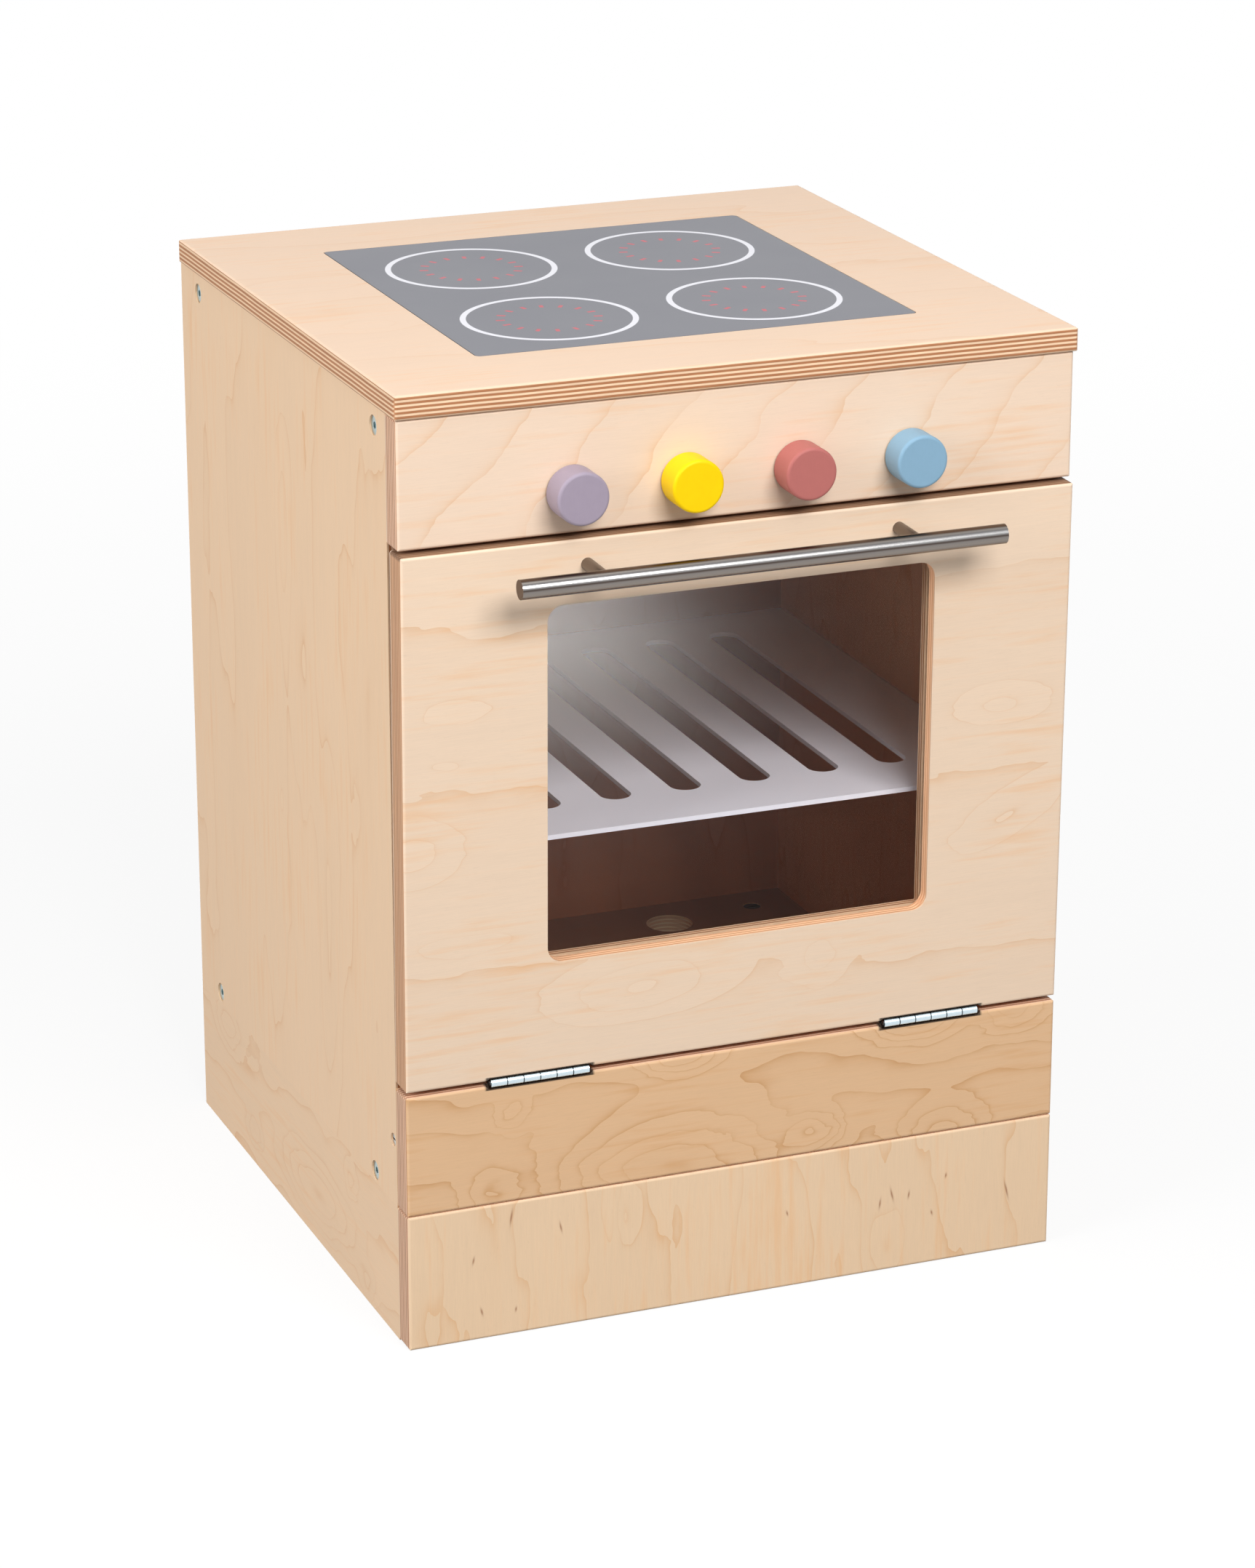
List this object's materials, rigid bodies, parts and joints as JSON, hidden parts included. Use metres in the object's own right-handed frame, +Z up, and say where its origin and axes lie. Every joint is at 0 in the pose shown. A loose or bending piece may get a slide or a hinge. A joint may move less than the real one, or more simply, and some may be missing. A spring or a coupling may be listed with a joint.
{
  "type": "toy oven",
  "caption": "Wooden play oven with a drop-down door and window, bar handle, slotted shelf, turning knobs and a flush play hob on top.",
  "frame": {"origin": "on the floor, at the centre of the whole oven's footprint with the door closed, handle included", "axes": "+X to the right as seen from the front, +Y from the front to the back, +Z up"},
  "size_m": [0.435, 0.461, 0.602],
  "materials": {
    "birch_ply": "clear matt lacquer over birch plywood",
    "pale_birch_ply": "clear matt lacquer over pale birch plywood",
    "tan_birch_ply": "clear matt lacquer over tan birch plywood",
    "beech": "planed and unlacquered",
    "grey_laminate": "satin mid-grey, printed with white rings and faded red dashes",
    "white_sheet": "satin white",
    "clear_pane": "clear acrylic, smooth",
    "zinc": "zinc plated",
    "magnet": "dull grey",
    "brushed_steel": "fine brushed",
    "lilac_paint": "satin lilac paint on turned wood",
    "yellow_paint": "satin yellow paint on turned wood",
    "rose_paint": "satin dusty rose paint on turned wood",
    "blue_paint": "satin light blue paint on turned wood",
    "nylon": "off-white"
  },
  "bodies": {
    "cabinet": {"worktop": "birch_ply", "hob_panel": "grey_laminate", "left_side": "birch_ply", "right_side": "birch_ply", "back_panel": "birch_ply", "oven_floor": "birch_ply", "top_front_rail": "beech", "top_back_rail": "beech", "oven_shelf": "white_sheet", "control_panel": "pale_birch_ply", "lower_rail": "tan_birch_ply", "rail_batten": "beech", "plinth_front": "pale_birch_ply", "plinth_left": "tan_birch_ply", "plinth_right": "tan_birch_ply", "plinth_back": "birch_ply", "front_left_block": "beech", "front_right_block": "beech", "back_left_block": "beech", "back_right_block": "beech", "connector_bolts": "zinc", "barrel_nuts": "zinc", "batten_screws": "zinc", "worktop_screws": "zinc", "control_panel_screws": "zinc", "lower_rail_screws": "zinc", "back_panel_screws": "zinc", "plinth_screws": "zinc", "catch_magnets": "magnet", "left_hinge_rail_leaf": "zinc", "right_hinge_rail_leaf": "zinc", "hinge_rail_screws": "zinc", "knob_front_washers": "nylon", "knob_back_washers": "zinc"},
    "door": {"door_panel": "pale_birch_ply", "window_pane": "clear_pane", "bead_top": "birch_ply", "bead_bottom": "birch_ply", "bead_left": "birch_ply", "bead_right": "birch_ply", "bead_screws": "zinc", "handle_bar": "brushed_steel", "handle_post_left": "brushed_steel", "handle_post_right": "brushed_steel", "handle_screws": "zinc", "left_hinge_door_leaf": "zinc", "left_hinge_pin": "zinc", "right_hinge_door_leaf": "zinc", "right_hinge_pin": "zinc", "hinge_door_screws": "zinc", "strike_screws": "zinc"},
    "knob_lilac": {"knob_lilac": "lilac_paint", "knob_bolt_lilac": "zinc"},
    "knob_yellow": {"knob_yellow": "yellow_paint", "knob_bolt_yellow": "zinc"},
    "knob_rose": {"knob_rose": "rose_paint", "knob_bolt_rose": "zinc"},
    "knob_blue": {"knob_blue": "blue_paint", "knob_bolt_blue": "zinc"}
  },
  "joints": [
    {"name": "door_hinge", "type": "hinge", "parent": "cabinet", "child": "door", "pos_m": [0, -0.1863, 0.1685], "axis": [1, 0, 0], "range_deg": [0, 89.25]},
    {"name": "knob_lilac_turn", "type": "hinge", "parent": "cabinet", "child": "knob_lilac", "pos_m": [-0.108, -0.1875, 0.534], "axis": [0, -1, 0], "continuous": true},
    {"name": "knob_yellow_turn", "type": "hinge", "parent": "cabinet", "child": "knob_yellow", "pos_m": [-0.036, -0.1875, 0.534], "axis": [0, -1, 0], "continuous": true},
    {"name": "knob_rose_turn", "type": "hinge", "parent": "cabinet", "child": "knob_rose", "pos_m": [0.036, -0.1875, 0.534], "axis": [0, -1, 0], "continuous": true},
    {"name": "knob_blue_turn", "type": "hinge", "parent": "cabinet", "child": "knob_blue", "pos_m": [0.108, -0.1875, 0.534], "axis": [0, -1, 0], "continuous": true}
  ]
}
